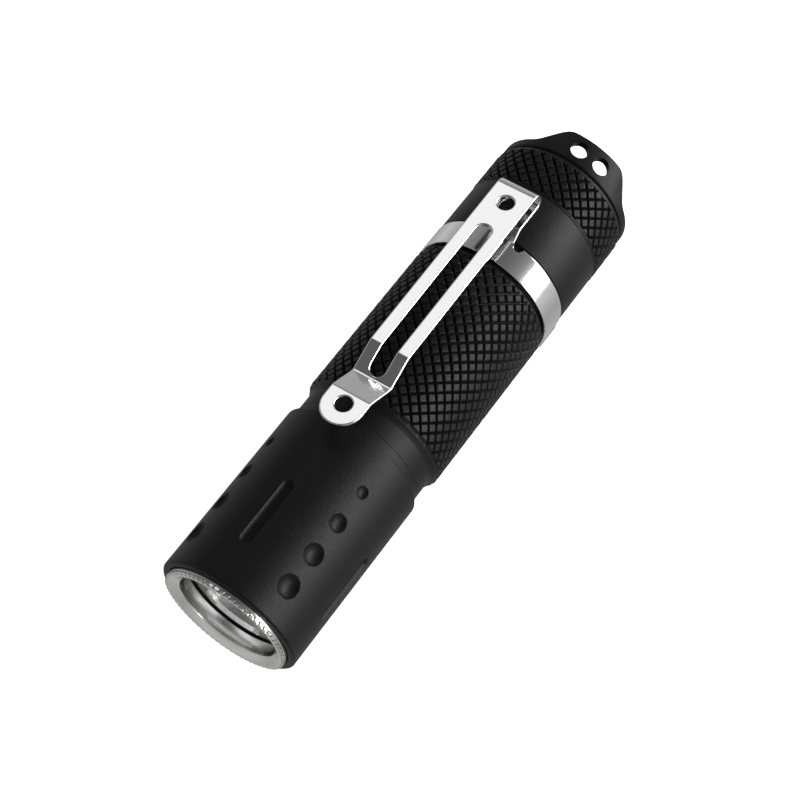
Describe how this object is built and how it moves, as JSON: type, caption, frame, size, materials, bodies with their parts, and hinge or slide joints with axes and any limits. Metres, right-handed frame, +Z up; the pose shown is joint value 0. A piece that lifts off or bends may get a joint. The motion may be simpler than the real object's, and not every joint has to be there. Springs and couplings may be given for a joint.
{
  "type": "keychain flashlight",
  "caption": "Slim black metal flashlight with a steel bezel, a knurled tube, a steel pocket clip and a tail cap with lanyard holes.",
  "frame": {"origin": "centre of the underside of the light's box, the light lying flat with its clip on top", "axes": "+X along the light's axis, the way the beam goes; +Z up through the clip; +Y to the left of the beam"},
  "size_m": [0.0806, 0.0202, 0.0234],
  "materials": {
    "anodised_black": "fine matt black anodising over aluminium",
    "bezel_steel": "turned stainless steel",
    "clip_steel": "polished spring steel",
    "lens_glass": "clear coated glass",
    "rubber_black": "matt black rubber",
    "reflector_aluminium": "vacuum-coated aluminium",
    "emitter_ceramic": "white ceramic",
    "emitter_silicone": "yellow phosphor under clear silicone",
    "board_white": "white solder mask on an aluminium core",
    "bare_aluminium": "turned aluminium",
    "wire_red": "red insulation",
    "wire_black": "black insulation",
    "board_green": "green solder mask",
    "chip_black": "moulded black resin",
    "brass": "turned brass",
    "spring_steel": "gold-washed spring wire",
    "battery_sleeve": "plain blue shrink sleeve with no marks",
    "battery_nickel": "nickel-plated steel",
    "white_plastic": "white nylon"
  },
  "bodies": {
    "body_tube": {"body_tube": "anodised_black", "head_o_ring": "rubber_black", "tail_o_ring": "rubber_black"},
    "head": {"head_shell": "anodised_black", "bezel_ring": "bezel_steel", "lens": "lens_glass", "lens_o_ring": "rubber_black", "reflector": "reflector_aluminium", "led_gasket": "white_plastic", "led_emitter": "emitter_ceramic", "led_dome": "emitter_silicone", "led_board": "board_white", "heat_sink": "bare_aluminium", "led_wire_positive": "wire_red", "led_wire_negative": "wire_black", "driver_board": "board_green", "driver_chip": "chip_black", "driver_inductor": "chip_black", "driver_retaining_ring": "brass", "positive_contact_spring": "spring_steel"},
    "battery": {"battery_cell": "battery_sleeve", "battery_terminal": "battery_nickel"},
    "tail_spring": {"tail_spring": "spring_steel"},
    "tail_cap": {"tail_cap": "anodised_black", "switch_board": "board_green", "switch_housing": "chip_black", "switch_retaining_ring": "brass", "switch_boot": "rubber_black", "switch_spring": "spring_steel"},
    "switch_button": {"switch_plunger": "white_plastic"},
    "pocket_clip": {"pocket_clip": "clip_steel"}
  },
  "joints": [
    {"name": "head_twist", "type": "hinge", "parent": "body_tube", "child": "head", "pos_m": [0, 0, 0.01012], "axis": [1, 0, 0], "range_deg": [0, 90]},
    {"name": "clip_swivel", "type": "hinge", "parent": "body_tube", "child": "pocket_clip", "pos_m": [0, 0, 0.01012], "axis": [1, 0, 0], "continuous": true},
    {"name": "battery_out", "type": "slide", "parent": "body_tube", "child": "battery", "axis": [-1, 0, 0], "range_m": [0, 0.045]},
    {"name": "tail_cap_screw", "type": "slide", "parent": "battery", "child": "tail_spring", "axis": [-1, 0, 0], "range_m": [0, 0.003]},
    {"name": "tail_cap_turn", "type": "hinge", "parent": "tail_spring", "child": "tail_cap", "pos_m": [0, 0, 0.01012], "axis": [-1, 0, 0], "range_deg": [0, 1080]},
    {"name": "button_press", "type": "slide", "parent": "tail_cap", "child": "switch_button", "axis": [1, 0, 0], "range_m": [0, 0.0012], "stiffness_N_per_m": 1500, "springref_m": -0.0004, "deforming": ["switch_boot", "switch_spring"]}
  ],
  "couplings": [
    {"joint": "tail_cap_screw", "follows": "tail_cap_turn", "m_per_rad": 0.000159}
  ]
}
